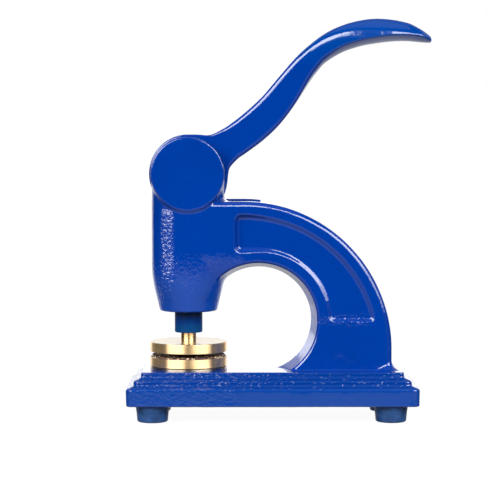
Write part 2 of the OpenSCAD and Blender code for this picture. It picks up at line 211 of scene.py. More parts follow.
def thin_out(name, P, quads, triangles):
    """The same surface with fewer faces: large ones where it is flat, small ones round the edges."""
    ob = make_mesh(name + "_raw", P, quads)
    m = ob.modifiers.new("thin", "DECIMATE")
    m.ratio = min(1.0, triangles / (2.0 * len(quads)))
    dg = bpy.context.evaluated_depsgraph_get()
    me = bpy.data.meshes.new_from_object(ob.evaluated_get(dg))
    co = np.empty(len(me.vertices) * 3, np.float32)
    me.vertices.foreach_get("co", co)
    faces = [list(p.vertices) for p in me.polygons]
    raw = ob.data
    bpy.data.objects.remove(ob)
    bpy.data.meshes.remove(raw)
    bpy.data.meshes.remove(me)
    return co.reshape(-1, 3).astype(float) * 1000.0, faces


def solid(name, F, lo, hi, h, material, body, replaced, full=None, triangles=None):
    """A piece whose surface is where F is 0. full is F with its finer unevenness, for the final place of each point."""
    full = full or F
    P, faces = surface_net(F, lo, hi, h)
    P = project(F, P, 2, 0.5 * h)
    if triangles and 2 * len(faces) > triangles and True:
        P, faces = thin_out(name, P, faces, triangles)
    P = project(full, P, 2, 0.4 * h)
    ob = make_mesh(name, P, faces, normals_of(full, P), material)
    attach(ob, body)
    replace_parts(ob, *replaced)
    return ob


# ---------------------------------------------------------------- turned pieces
def rounded(points, radii, seg=5, closed=False):
    """A profile (r, z) with its corners rounded, and the outward normal at each point. It runs with the solid on its left."""
    p = [np.array(q, float) for q in points]
    out, nor = [], []
    m = len(p)

    def right(d):
        return np.array([d[1], -d[0]])
    for i in range(m):
        if not closed and i in (0, m - 1):
            d = p[1] - p[0] if i == 0 else p[-1] - p[-2]
            out.append(p[i]), nor.append(right(d / np.linalg.norm(d)))
            continue
        a, b, c = p[i - 1], p[i], p[(i + 1) % m]
        d1, d2 = (b - a) / np.linalg.norm(b - a), (c - b) / np.linalg.norm(c - b)
        cross, dot = d1[0] * d2[1] - d1[1] * d2[0], float(np.clip(d1 @ d2, -1, 1))
        turn = math.atan2(cross, dot)
        if abs(turn) < 1e-4:
            out.append(b), nor.append(right(d1))
            continue
        t = radii[i] * math.tan(abs(turn) / 2)
        s = b - d1 * t
        sign = 1 if turn > 0 else -1
        centre = s - sign * right(d1) * radii[i]
        n = max(2, int(seg * abs(turn) / 1.57 + 0.99))
        for k in range(n + 1):
            a_k = turn * k / n
            v = right(d1)
            w = np.array([v[0] * math.cos(a_k) - v[1] * math.sin(a_k), v[0] * math.sin(a_k) + v[1] * math.cos(a_k)])
            out.append(centre + sign * w * radii[i]), nor.append(w)
    return np.array(out), np.array(nor)


def lathe(name, profile, normals, centre, material, body, replaced, sides=128, closed=False, axis="z"):
    m = len(profile)
    a = np.arange(sides) * 2 * math.pi / sides
    P, N, rows = [], [], []
    for (r, z), (nr, nz) in zip(profile, normals):
        if r < 1e-6:
            rows.append([len(P)] * sides)
            P.append((0, 0, z)), N.append((0, 0, 1 if nz > 0 else -1))
        else:
            rows.append(list(range(len(P), len(P) + sides)))
            P += list(zip(r * np.cos(a), r * np.sin(a), np.full(sides, z)))
            N += list(zip(nr * np.cos(a), nr * np.sin(a), np.full(sides, nz)))
    P, N = np.array(P, float), np.array(N, float)
    faces = []
    for i in range(m if closed else m - 1):
        r0, r1 = rows[i], rows[(i + 1) % m]
        for j in range(sides):
            k = (j + 1) % sides
            f = [r0[j], r0[k], r1[k], r1[j]]
            f = [v for n, v in enumerate(f) if v != f[n - 1]]
            if len(f) > 2:
                faces.append(f)
    if axis == "y":   # the profile's z runs along +Y
        P, N = P[:, [0, 2, 1]] * [-1, 1, 1], N[:, [0, 2, 1]] * [-1, 1, 1]
        P, N = P * [-1, 1, -1], N * [-1, 1, -1]
    ob = make_mesh(name, P + np.array(centre, float), faces, N, material)
    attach(ob, body)
    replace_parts(ob, *replaced)
    return ob


# ---------------------------------------------------------------- node helpers
class Tree:
    def __init__(self, tree):
        self.t = tree

    def node(self, kind, props=None, **inputs):
        n = self.t.nodes.new(kind)
        for k, v in (props or {}).items():
            setattr(n, k, v)
        for k, v in inputs.items():
            self.put(n.inputs[k.replace("_", " ")], v)
        return n

    def put(self, socket, v):
        if isinstance(v, bpy.types.NodeSocket):
            self.t.links.new(v, socket)
        elif v is not None:
            socket.default_value = v

    def math(self, op, a, b=None, c=None):
        n = self.t.nodes.new("ShaderNodeMath")
        n.operation = op
        for s, v in zip(n.inputs, (a, b, c)):
            self.put(s, v)
        return n.outputs[0]

    def ramp(self, v, a, b, lo=0.0, hi=1.0, kind="SMOOTHSTEP"):
        n = self.t.nodes.new("ShaderNodeMapRange")
        n.interpolation_type = kind
        for s, x in zip(("Value", "From Min", "From Max", "To Min", "To Max"), (v, a, b, lo, hi)):
            self.put(n.inputs[s], x)
        return n.outputs[0]

    def noise(self, vec, scale, detail=2.0, rough=0.5, distortion=0.0):
        n = self.t.nodes.new("ShaderNodeTexNoise")
        self.put(n.inputs["Vector"], vec)
        n.inputs["Scale"].default_value = scale
        n.inputs["Detail"].default_value = detail
        n.inputs["Roughness"].default_value = rough
        n.inputs["Distortion"].default_value = distortion
        return n.outputs[0]

    def mix(self, f, a, b, kind="MIX"):
        n = self.t.nodes.new("ShaderNodeMix")
        n.data_type = "RGBA"
        n.blend_type = kind
        self.put(n.inputs[0], f)
        self.put(n.inputs[6], a)
        self.put(n.inputs[7], b)
        return n.outputs[2]

    def bump(self, height, distance, strength=1.0, normal=None):
        n = self.t.nodes.new("ShaderNodeBump")
        n.inputs["Distance"].default_value = distance
        n.inputs["Strength"].default_value = strength
        self.put(n.inputs["Height"], height)
        if normal is not None:
            self.put(n.inputs["Normal"], normal)
        return n.outputs[0]


def material(name):
    m = bpy.data.materials.new(name)
    m.use_nodes = True
    m.node_tree.nodes.clear()
    t = Tree(m.node_tree)
    out = t.node("ShaderNodeOutputMaterial")
    b = t.node("ShaderNodeBsdfPrincipled")
    m.node_tree.links.new(b.outputs[0], out.inputs[0])
    co = t.node("ShaderNodeTexCoord").outputs["Object"]
    return m, t, b, co


def rgb(r, g, b):
    return (r, g, b, 1.0)


# ---------------------------------------------------------------- materials
ENAMEL = rgb(0.0, 0.0258, 0.202)


def enamel(name, colour=ENAMEL, lumps=1.0, grain=1.0, coarse=False):
    """Thick glossy blue enamel. coarse adds the orange peel of the head's left corner and of the base mouldings, plus
    painted light and shade: a lighter nose and base front, and darker mouldings. Without coarse, the top of the grip is
    painted lighter.
    """
    m, t, b, co = material(name)
    broad = t.noise(co, 28.0, 2.0, 0.5)
    mid = t.noise(co, 300.0, 2.0, 0.5)
    tone = t.ramp(t.math("ADD", t.math("MULTIPLY", broad, 0.6), t.math("MULTIPLY", mid, 0.4)), 0.3, 0.7)
    dark = tuple(c * 0.94 for c in colour[:3]) + (1.0,)
    light = tuple(min(1, c * 1.05) for c in colour[:3]) + (1.0,)
    paint = t.mix(tone, dark, light)
    b.inputs["Roughness"].default_value = 0.5
    b.inputs["Specular IOR Level"].default_value = 0.0
    b.inputs["Coat Weight"].default_value = 1.0
    b.inputs["Coat IOR"].default_value = 1.62
    b.inputs["Coat Roughness"].default_value = 0.04
    # the flat sides flowed out smoother than the curves and edges
    face = t.node("ShaderNodeSeparateXYZ", None, Vector=t.node("ShaderNodeNewGeometry").outputs["Normal"])
    flat = t.math("MAXIMUM", t.math("ABSOLUTE", face.outputs[1]), t.math("ABSOLUTE", face.outputs[2]))
    smooth = t.ramp(flat, 0.955, 0.997, 1.0, 0.25)
    n1 = t.bump(t.math("MULTIPLY", t.noise(co, 110.0, 1.0, 0.5), smooth), 0.00020 * lumps)
    n2 = t.bump(t.math("MULTIPLY", mid, smooth), 0.00014 * grain, normal=n1)
    if coarse:
        place = t.node("ShaderNodeSeparateXYZ", None, Vector=co)
        px, py, pz = place.outputs
        corner = t.math("MULTIPLY", t.math("MULTIPLY", t.ramp(px, -0.0662, -0.0695), t.ramp(px, -0.0785, -0.0750)),
                        t.math("MULTIPLY", t.ramp(pz, 0.070, 0.092), t.ramp(pz, 0.136, 0.131)))
        steps = t.math("MULTIPLY", t.ramp(pz, 0.0317, 0.0311), t.ramp(pz, 0.0208, 0.0222))
        steps = t.math("MULTIPLY", steps, t.ramp(px, 0.075, -0.06, 0.05, 0.12))
        lower = t.math("MULTIPLY", t.ramp(px, -0.020, -0.032), t.math("MULTIPLY", t.ramp(pz, 0.112, 0.098), t.ramp(pz, 0.060, 0.068, 0.15, 0.40)))
        sill = t.math("MULTIPLY", t.math("MULTIPLY", t.ramp(px, -0.004, 0.004), t.ramp(px, 0.062, 0.056)),
                      t.math("MULTIPLY", t.ramp(pz, 0.071, 0.0655), t.ramp(pz, 0.0590, 0.0630, 0.0, 0.36)))
        where = t.math("MAXIMUM", corner, steps)
        peel = t.noise(co, 560.0, 1.0, 0.5, 0.4)
        n2 = t.bump(t.math("MULTIPLY", peel, where), 0.00085 * grain, normal=n2)
        n2 = t.bump(t.math("MULTIPLY", t.math("SUBTRACT", peel, 0.5), t.math("MAXIMUM", lower, sill)), 0.00085 * grain, normal=n2)
        mould = t.math("MULTIPLY", t.ramp(pz, 0.0317, 0.0312), t.ramp(pz, 0.0216, 0.0228))
        many = t.math("ADD", t.noise(co, 560.0, 0.0, 0.5), t.ramp(px, 0.040, -0.030, -0.02, 0.055))
        dots = t.math("MULTIPLY", t.ramp(many, 0.67, 0.80), mould)
        n2 = t.bump(dots, 0.00036, normal=n2)
        # painted light: the nose is painted a lighter blue for the light it takes from the floor and base
        nose = t.math("MULTIPLY", t.ramp(px, -0.024, -0.036), t.math("MULTIPLY", t.ramp(pz, 0.100, 0.082), t.ramp(pz, 0.050, 0.056)))
        paint = t.mix(nose, paint, rgb(0.0, colour[1] * 1.42, colour[2] * 1.24))
        # painted shade: the base mouldings are painted a darker blue
        paint = t.mix(mould, paint, rgb(0.0, colour[1] * 0.96, colour[2] * 0.84))
        # painted reflection: the lowest band of the base, below the mouldings, is painted a lighter blue for the pale
        # floor it faces
        low = t.ramp(pz, 0.0245, 0.0205)
        paint = t.mix(low, paint, rgb(0.001, colour[1] * 1.26, colour[2] * 0.985))
    else:
        # painted light: the top of the grip is painted a lighter blue for the backdrop it reflects
        gz = t.node("ShaderNodeSeparateXYZ", None, Vector=co).outputs[2]
        paint = t.mix(t.ramp(gz, 0.222, 0.244), paint, rgb(0.0, colour[1] * 1.30, colour[2] * 0.99))
    t.put(b.inputs["Base Color"], paint)
    t.put(b.inputs["Coat Normal"], n2)
    t.put(b.inputs["Normal"], n1)
    return m


def ram_enamel(name):
    """The ram's thinner, duller coat, with painted light and shade: a lighter band low down, and painted shade
    darkening it towards the top, where it enters the head.
    """
    m, t, b, co = material(name)
    place = t.node("ShaderNodeSeparateXYZ", None, Vector=co)
    ring = t.noise(t.math("MULTIPLY", place.outputs[2], 1.0), 700.0, 3.0, 0.6)
    blot = t.noise(co, 130.0, 3.0, 0.6)
    h = t.math("ADD", place.outputs[2], t.math("MULTIPLY", t.math("SUBTRACT", blot, 0.5), 0.006))
    # painted light: a lighter blue band at the bottom of the ram
    body = t.mix(t.ramp(h, 0.0575, 0.0625), rgb(0.0, 0.034, 0.120), rgb(0.0, 0.018, 0.112))
    # painted shade: near black towards the top, where the ram goes up into the head
    body = t.mix(t.ramp(h, 0.0625, 0.0685), body, rgb(0.007, 0.018, 0.036))
    body = t.mix(t.ramp(ring, 0.35, 0.65, 0.0, 0.35), body, rgb(0.002, 0.018, 0.080))
    t.put(b.inputs["Base Color"], body)
    b.inputs["Roughness"].default_value = 0.42
    b.inputs["Specular IOR Level"].default_value = 0.05
    b.inputs["Coat Weight"].default_value = 0.08
    b.inputs["Coat IOR"].default_value = 1.5
    b.inputs["Coat Roughness"].default_value = 0.18
    t.put(b.inputs["Normal"], t.bump(blot, 0.0002))
    return m


def split_faces(ob, mat, limit=0.7):
    """Gives the faces square to the axis their own finish."""
    ob.data.materials.append(mat)
    n = np.empty(len(ob.data.polygons) * 3, np.float32)
    ob.data.polygons.foreach_get("normal", n)
    ob.data.polygons.foreach_set("material_index", (np.abs(n.reshape(-1, 3)[:, 2]) > limit).astype(np.int32))


def turned(name, colour, rough, centre, line=1.0, tarnish=0.35, metallic=1.0, along="z", streak=0.25, brush=0.0):
    """Turned metal: fine lines round an axis through centre (mm)."""
    m, t, b, co = material(name)
    shift = t.node("ShaderNodeVectorMath", {"operation": "SUBTRACT"})
    t.put(shift.inputs[0], co)
    shift.inputs[1].default_value = [c / 1000.0 for c in centre]
    sep = t.node("ShaderNodeSeparateXYZ", None, Vector=shift.outputs[0])
    x, y, z = sep.outputs
    if along == "y":
        x, y, z = x, z, y
    r = t.math("SQRT", t.math("ADD", t.math("MULTIPLY", x, x), t.math("MULTIPLY", y, y)))
    ang = t.math("ARCTAN2", y, x)
    ring = t.node("ShaderNodeCombineXYZ")
    t.put(ring.inputs[0], t.math("MULTIPLY", t.math("SINE", ang), 0.00018))
    t.put(ring.inputs[1], r)
    t.put(ring.inputs[2], z)
    lines = t.noise(ring.outputs[0], 5200.0, 2.0, 0.7)
    ring2 = t.node("ShaderNodeCombineXYZ")
    t.put(ring2.inputs[0], t.math("MULTIPLY", t.math("SINE", ang), 0.0012))
    t.put(ring2.inputs[1], t.math("MULTIPLY", t.math("COSINE", ang), 0.0012))
    t.put(ring2.inputs[2], t.math("ADD", r, z))
    wide = t.noise(ring2.outputs[0], 900.0, 3.0, 0.6)
    blot = t.noise(co, 85.0, 4.0, 0.6)
    dark = tuple(c * (1 - tarnish) for c in colour[:3]) + (1.0,)
    tone = t.ramp(t.math("ADD", t.math("MULTIPLY", blot, 0.55), t.math("MULTIPLY", wide, 0.45)), 0.36, 0.60)
    t.put(b.inputs["Base Color"], t.mix(tone, dark, colour))
    b.inputs["Metallic"].default_value = metallic
    t.put(b.inputs["Roughness"], t.math("ADD", t.math("MULTIPLY", lines, streak * 0.4), rough - streak * 0.2))
    t.put(b.inputs["Normal"], t.bump(lines, 0.000012 * line))
    if brush:
        b.inputs["Anisotropic"].default_value = brush
        b.inputs["Anisotropic Rotation"].default_value = 0.25
        t.put(b.inputs["Tangent"], t.node("ShaderNodeTangent", {"direction_type": "RADIAL", "axis": "Z"}).outputs[0])
    return m


def steel(name, colour, rough, scale=1.0):
    m, t, b, co = material(name)
    a = t.noise(co, 240.0 * scale, 4.0, 0.65)
    f = t.noise(co, 2600.0 * scale, 2.0, 0.6)
    dark = tuple(c * 0.72 for c in colour[:3]) + (1.0,)
    t.put(b.inputs["Base Color"], t.mix(t.ramp(a, 0.35, 0.65), dark, colour))
    b.inputs["Metallic"].default_value = 1.0
    t.put(b.inputs["Roughness"], t.math("ADD", t.math("MULTIPLY", a, 0.18), rough - 0.09))
    t.put(b.inputs["Normal"], t.bump(f, 0.00002))
    return m


def rubber(name):
    m, t, b, co = material(name)
    a = t.noise(co, 190.0, 4.0, 0.6)
    f = t.noise(co, 1300.0, 3.0, 0.65)
    t.put(b.inputs["Base Color"], t.mix(t.ramp(a, 0.32, 0.68), rgb(0.003, 0.026, 0.092), rgb(0.007, 0.044, 0.150)))
    t.put(b.inputs["Roughness"], t.math("ADD", t.math("MULTIPLY", a, 0.25), 0.34))
    b.inputs["Specular IOR Level"].default_value = 0.4
    n = t.bump(a, 0.0003)
    t.put(b.inputs["Normal"], t.bump(f, 0.00008, normal=n))
    return m


def counter_stuff(name):
    """Dark moulded counter with pale crumbs along its lower edge and pale specks on top; their pale colour is also
    painted highlight, standing in for the glints on them.
    """
    m, t, b, co = material(name)
    sep = t.node("ShaderNodeSeparateXYZ", None, Vector=co)
    a = t.noise(co, 420.0, 4.0, 0.7)
    c = t.noise(co, 820.0, 2.0, 0.55)
    base = t.mix(t.ramp(a, 0.35, 0.65), rgb(0.010, 0.003, 0.002), rgb(0.060, 0.020, 0.010))
    low = t.ramp(sep.outputs[2], 0.0400, 0.0395)
    # painted highlight: pale crumbs and specks, their pale colour standing in for glints
    high = t.math("MULTIPLY", t.ramp(c, 0.615, 0.630), 0.9)
    crumb_glint = t.math("MULTIPLY", t.ramp(c, 0.555, 0.57), low)
    t.put(b.inputs["Base Color"], t.mix(t.math("MAXIMUM", crumb_glint, high), base, rgb(0.90, 0.72, 0.46)))
    t.put(b.inputs["Roughness"], t.math("ADD", t.math("MULTIPLY", a, 0.3), 0.35))
    n = t.bump(a, 0.0005)
    t.put(b.inputs["Normal"], t.bump(c, 0.00015, normal=n))
    return m


M_CAST = enamel("enamel_casting", lumps=0.7, grain=1.0, coarse=True)
M_LEVER = enamel("enamel_lever", lumps=0.35, grain=0.4)
M_RAM = ram_enamel("enamel_ram")
BRASS = rgb(0.97, 0.665, 0.34)
M_DIE_UP = turned("brass_upper_die", BRASS, 0.33, (RX, 0, 0), tarnish=0.07, metallic=0.92, brush=0.95)
M_DIE_LOW = turned("brass_lower_die", BRASS, 0.33, (RX, 0, 0), tarnish=0.09, metallic=0.92, brush=0.95)
# painted shade: the same brass in a duller colour on the faces square to the axis, to dim their reflection
M_DIE_FACE = turned("brass_die_face", rgb(0.60, 0.515, 0.39), 0.30, (RX, 0, 0), tarnish=0.08, line=1.6)
M_SEAT = turned("brass_seat", rgb(0.52, 0.44, 0.34), 0.30, (RX, 0, 0), tarnish=0.3, brush=0.9)
# painted shade: near black on the faces of the rabbet under the lower die, standing for the shadow in that gap
M_GROOVE = turned("brass_groove_painted_shade", rgb(0.020, 0.020, 0.030), 0.6, (RX, 0, 0), tarnish=0.5, metallic=0.0, streak=0.1)
M_STEM = turned("brass_stem", BRASS, 0.24, (RX, 0, 0), tarnish=0.1, brush=0.7)
M_BUSH = turned("bronze_bush", rgb(0.60, 0.36, 0.17), 0.3, (RX, 0, PZ), tarnish=0.35, along="y")
M_STEEL_Y = turned("turned_steel", rgb(0.56, 0.57, 0.58), 0.24, (RX, 0, PZ), tarnish=0.2, along="y")
M_STEEL = steel("plain_steel", rgb(0.55, 0.56, 0.58), 0.30)
M_SPRING = steel("spring_steel", rgb(0.42, 0.43, 0.45), 0.28)
M_BLACK = steel("black_oxide_steel", rgb(0.075, 0.075, 0.08), 0.38)
M_NUT = steel("zinc_nut", rgb(0.60, 0.60, 0.58), 0.27)
M_RUBBER = rubber("foot_rubber")
M_PAD = counter_stuff("counter_compound")


# ---------------------------------------------------------------- the frame casting
def f_casting(x, y, z):
    ax = x - RX
    rho = np.hypot(ax, y)
    q = np.hypot(ax, z - PZ)
    ay = np.sqrt(y * y + 1.0) - 1.0                     # |y| without the crease at the middle
    # head: tapered nose, round column and two cheeks
    squarer = 0.95 * sstep(z, 72.0, 96.0)               # round at the nose, flatter fronted above
    pw = 2.0 + squarer
    hx, hy = np.abs(ax) / 23.7, np.abs(y) / 23.7
    lame = (hx ** pw + hy ** pw + 1e-9) ** (1 / pw)
    column = (lame - 1) * 23.7 / np.maximum(np.hypot((hx / np.maximum(lame, 1e-6)) ** (pw - 1), (hy / np.maximum(lame, 1e-6)) ** (pw - 1)), 0.5)
    nose = (column + 5.2) * 0.9733 - (z - 68.8) * 0.2296
    head = smax(nose, column, 2.2)
    head = rmax(head, 68.8 - z, 1.2)
    head = rmax(head, z - 156.4, 1.5)
    cheek = rmax(q - 23.4, np.abs(y) - 25.0, 1.0)
    # arm: quarter arch, upright and web, with a round throat; a little draft towards the middle plane
    u, w = x + 23.4, z - 44.8
    outer = np.where((u > 0) & (w > 0), np.hypot(u, w), np.maximum(u, w)) - 95.1
    throat = 34.0 + 0.20 * ay - np.hypot(x + 13.6, z - 63.3)
    low = np.minimum(80.0 - z, -13.6 - x)
    fall = np.clip(108.0 - z, 0, 20.0)
    fall = fall * fall / 40.0 + np.maximum(88.0 - z, 0)
    half = 18.5 - 0.40 * fall * sstep(x, -14.0, -34.0) * sstep(z, 60.0, 78.0)
    flank = 0.5 + 0.5 * np.cos(np.clip(ax, 0, 60.0) * (math.pi / 60.0))                         # flush with the head's front
    flank = flank * (1 - (np.clip(100.0 - z, 0, 34.0) / 34.0) ** 2)
    half = half + 5.2 * flank
    side = (np.abs(y) - half) * 0.99
    arm = np.maximum(rmax(outer, side, 3.7), rmax(np.maximum(throat, low), side, 1.7))
    arm = np.maximum(arm, -3.0 - ax)
    arm = np.maximum(arm, 27.0 - z)
    # base: plain block and two stepped mouldings
    bx = x - BCX
    d0 = rect(bx, y, BHX, BHY, 4.5)
    b0 = rmax(d0 + 0.020 * np.maximum(22.0 - z, 0), (z - 21.9 - 0.36 * np.clip(-d0, 0, 8)) * 0.94, 1.1)
    d1 = rect(bx, y, BHX - 4.7, BHY - 4.7, 3.6)
    b1 = rmax(d1, (z - 26.6 - 0.36 * np.clip(-d1, 0, 8)) * 0.94, 1.0)
    b2 = rmax(rect(bx, y, BHX - 9.3, BHY - 9.3, 2.8), z - 31.7, 0.9)
    base = rmin(rmin(b0, b1, 0.9), b2, 0.9)
    base = rmax(base, 10.8 - z, 0.8)
    # joined
    body = smin(head, arm, 3.0 - 2.9 * sstep(np.abs(y), 15.0, 21.0))
    body = rmin(body, cheek, 2.3)
    body = rmin(body, base, 0.9 + 5.2 * sstep(x, 60.0, 70.5))
    ridge = np.maximum(rmax(np.abs(y - 14.5) - 0.6, np.abs(outer) - 0.95, 0.2), np.abs(x + 23.5) - 11.5)
    body = smin(body, np.where(z > 100, ridge, 9.0), 0.2)                                     # a trace of flash along the parting line
    boss = rmax(np.hypot(ax, z - 82.0) - 8.2, np.abs(y - 12.0) - 11.5, 0.9)
    body = rmin(body, boss, 2.5)
    # slot for the lever's hub
    slot = np.maximum(np.minimum(q - 27.9, np.maximum(np.abs(ax) - 40, 148.6 - z)), np.abs(y) - 8.4)
    body = cut(body, slot, 0.7)
    # bores of the head
    body = cut(body, np.maximum(rho - 9.25, z - 101), 0.5)
    body = cut(body, np.maximum(rho - 13.15, np.abs(z - 115.25) - 19.25), 0.4)
    body = cut(body, np.maximum(q - 6.05, -20 - y), 0.4)
    body = cut(body, np.maximum(np.hypot(y - 17.0, z - PZ) - 2.55, ax + 4), 0.4)
    body = cut(body, np.maximum(np.hypot(ax, z - 82.0) - 3.05, 5 - y), 0.4)
    # recessed panel on both sides
    inner = np.where(x > -13.6, 45.4 - np.hypot(x + 13.6, z - 63.3), 108.7 - z)
    p2 = rmax(rmax(np.hypot(u, w) - 85.7, -27.7 - x, 3.0), rmax(inner, 63.7 - z, 3.0), 3.0)
    wall = (p2 - 0.40 * (np.abs(y) - 17.75)) * 0.93
    body = smax(body, -smax(wall, 17.0 - np.abs(y), 2.0), 1.1)
    # hollow underside
    hollow = np.maximum(rect(bx, y, BHX - 7, BHY - 7, 3.0), z - 20.0)
    hollow = rmax(hollow, -np.maximum(rho - 9.0, 18.0 - z), 0.8)
    hollow = rmax(hollow, -(np.maximum(np.abs(x) - 3.0, 11.8 - z)), 1.2)
    fx = np.where(x < BCX, x - FOOT_X[0], x - FOOT_X[1])
    foot = np.hypot(fx, np.abs(y) - FOOT_Y)
    hollow = rmax(hollow, 10.0 - foot, 1.2)
    body = cut(body, hollow, 0.8)
    # screw and pin holes
    body = np.maximum(body, -np.maximum(rho - 3.25, np.abs(z - 27) - 10.5))
    body = np.maximum(body, -np.maximum(np.hypot(np.abs(ax) - 14.0, y) - 1.55, np.abs(z - 30) - 5.2))
    body = np.maximum(body, -np.maximum(foot - 2.55, z - 20.2))
    return body


def d_casting(x, y, z):
    """Unevenness of the sand casting, away from the machined faces."""
    rho = np.hypot(x - RX, y)
    keep = 1 - np.clip((14.5 - rho) / 1.0, 0, 1) * (z > 60)
    keep = keep * (1 - np.clip((np.hypot(x - RX, z - PZ) < 29) * (np.abs(y) < 9.5), 0, 1))
    lumpy = sstep(z, 36, 30) * 0.5 + sstep(x, -34, -40) * sstep(z, 90, 100) * 0.35 + 0.65
    n = 0.055 * noise(x, y, z, 9.0, 11) + 0.026 * lumpy * noise(x, y, z, 3.6, 12)
    return f_casting(x, y, z) - n * keep


casting = solid("frame_casting_enamel", f_casting, (-99.6, -39.6, 9.2), (88.6, 39.6, 183.6), 0.8,
                M_CAST, "frame", ["frame_casting"], d_casting, 190000)


# ---------------------------------------------------------------- the lever
def crom(points, n):
    p = np.array(points, float)
    out = []
    for i in range(len(p) - 1):
        a, b, c, d = p[max(i - 1, 0)], p[i], p[i + 1], p[min(i + 2, len(p) - 1)]
        for k in range(n):
            t = k / n
            out.append(0.5 * (2 * b + (c - a) * t + (2 * a - 5 * b + 4 * c - d) * t * t + (3 * b - a - 3 * c + d) * t ** 3))
    return np.array(out + [p[-1]])


TOP = crom([(-62, 182.6), (-56, 182.8), (-51, 182.6), (-46.5, 182.3), (-43, 183.1), (-38, 185.6), (-32.2, 189.3), (-21.8, 197.5),
            (-11.4, 207.5), (-1, 220), (9.4, 232), (19.8, 241.3), (30, 248.4), (40.5, 253.2), (51, 256.1), (61.3, 257.4),
            (71.7, 256.8), (82, 254.8), (87.3, 252.5), (92.5, 249.5), (96, 246.8), (97.6, 245.2), (98.1, 243.8)], 5)
UNDER = crom([(-36, 152), (-34.4, 157), (-32.2, 161.5), (-27, 167.2), (-21.8, 170.8), (-11.4, 178.5), (-1, 188.3), (9.4, 201.3),
              (19.8, 217.3), (25, 224.2), (30, 229.4), (40.5, 235.7), (51, 239.2), (61.3, 241.2), (71.7, 242.5), (82, 242.8),
              (92, 242), (96.5, 241.8), (97.8, 242.6), (98.1, 243.8)], 5)


def curve_distance(x, z, line, sign):
    """Distance to a line in side view, negative under it if sign is 1, above it if sign is -1."""
    x, z = np.broadcast_arrays(x, z)
    best = np.full(x.shape, 1e9)
    for a, b in zip(line[:-1], line[1:]):
        d = b - a
        t = np.clip(((x - a[0]) * d[0] + (z - a[1]) * d[1]) / (d @ d), 0, 1)
        best = np.minimum(best, (x - a[0] - t * d[0]) ** 2 + (z - a[1] - t * d[1]) ** 2)
    above = z > np.interp(x, line[:, 0], line[:, 1])
    return np.sqrt(best) * np.where(above, sign, -sign)


def cam_profile():
    """The hub's outline, with the cam that presses the ram, as radius against angle."""
    rate, press, fall = 2.6, 41.0, 60.0
    top, slope = rate * math.radians(press), rate * math.radians(fall)
    pts = []
    for a in np.arange(0, 360, 1.0):
        if a <= press:
            h, d = rate * math.radians(a), rate
        elif a <= press + fall:
            s = (a - press) / fall
            h = top * (2 * s ** 3 - 3 * s * s + 1) + slope * (s ** 3 - 2 * s * s + s)
            d = (top * (6 * s * s - 6 * s) + slope * (3 * s * s - 4 * s + 1)) / math.radians(fall)
        else:
            h, d = 0, 0
        f, p = math.radians(a - 90), 25.2 + h
        pts.append((p * math.cos(f) - d * math.sin(f), p * math.sin(f) + d * math.cos(f)))
    pts = np.array(pts)
    ang, rad = np.arctan2(pts[:, 1], pts[:, 0]), np.hypot(pts[:, 0], pts[:, 1])
    o = np.argsort(ang)
    return ang[o], rad[o]


CAM_A, CAM_R = cam_profile()


def f_lever(x, y, z, _memo={}):
    ax = x - RX
    q = np.hypot(ax, z - PZ)
    th = np.arctan2(z - PZ + 0 * x, ax + 0 * z)
    hub = q - np.interp(th.ravel(), CAM_A, CAM_R, period=2 * math.pi).reshape(th.shape)
    a = curve_distance(x, z, TOP, 1)
    b = curve_distance(x, z, UNDER, -1)
    half = np.interp(x, [-80, -36, -20, 0, 20, 40, 54, 64, 72, 80, 88], [8, 8.1, 8.9, 10.1, 11.4, 13.0, 14.3, 14.5, 14.1, 13.1, 12.0])
    tip = np.clip((x - 82.0) / 16.2, 0, 1)
    half = np.maximum(half * np.maximum(1 - tip ** 2.3, 0) ** 0.44, 0.25)
    ay = np.abs(y)
    # neck: flat sides and softened edges
    web = np.maximum(np.maximum(a, b), -60.5 - x)
    fill = 0.05 + 2.6 * sstep(z, 172, 166)
    side2 = rmin(hub, web, fill)
    edge = 1.1 + 1.7 * sstep(x, -46, -26)
    crown = 0.008 * ay * ay * sstep(x, -30, 10)
    neck = rmax(side2 + crown * sstep(-a, 12, 0), ay - half, edge)
    # grip: domed top, a lower edge on each side, gently crowned underside
    thick = np.maximum(-(a + b), 0.3)
    e = np.minimum(3.3, 0.42 * thick)
    s = -b
    yy = np.minimum(ay / half, 4.0)
    under = e * yy ** 2.0 - s
    low_c = e - 0.32 * sstep(x, 26, 66) * (thick - e)    # at the grip the dome's middle lies below the lower edge
    p = 4.6 - 2.4 * sstep(x, 14, 66)
    tall = np.maximum(thick - low_c, 0.2)
    wide = half / np.sqrt(1 - ((e - low_c) / tall) ** 2)
    ss = np.maximum(s - low_c, 0) / tall
    yw = np.minimum(ay / wide, 4.0)
    k = (yw ** p + ss ** p + 1e-9) ** (1 / p)
    grad = np.hypot((yw / k) ** (p - 1) / wide, (ss / k) ** (p - 1) / tall) + 1e-3
    dome = (k - 1) / grad
    grip = rmax(dome, under, 0.9)
    m = sstep(x, 0, 34)
    f = neck * (1 - m) + grip * m
    f = rmax(f, x - 98.0, 0.6)
    return cut(f, q - 8.05, 0.4)


def d_lever(x, y, z):
    return f_lever(x, y, z) - 0.05 * noise(x, y, z, 11.0, 21) * sstep(x, -34, -28)


lever = solid("lever_enamel", f_lever, (-87.5, -16.6, 130.5), (99.4, 16.6, 259), 0.8,
              M_LEVER, "lever", ["lever"], d_lever, 120000)


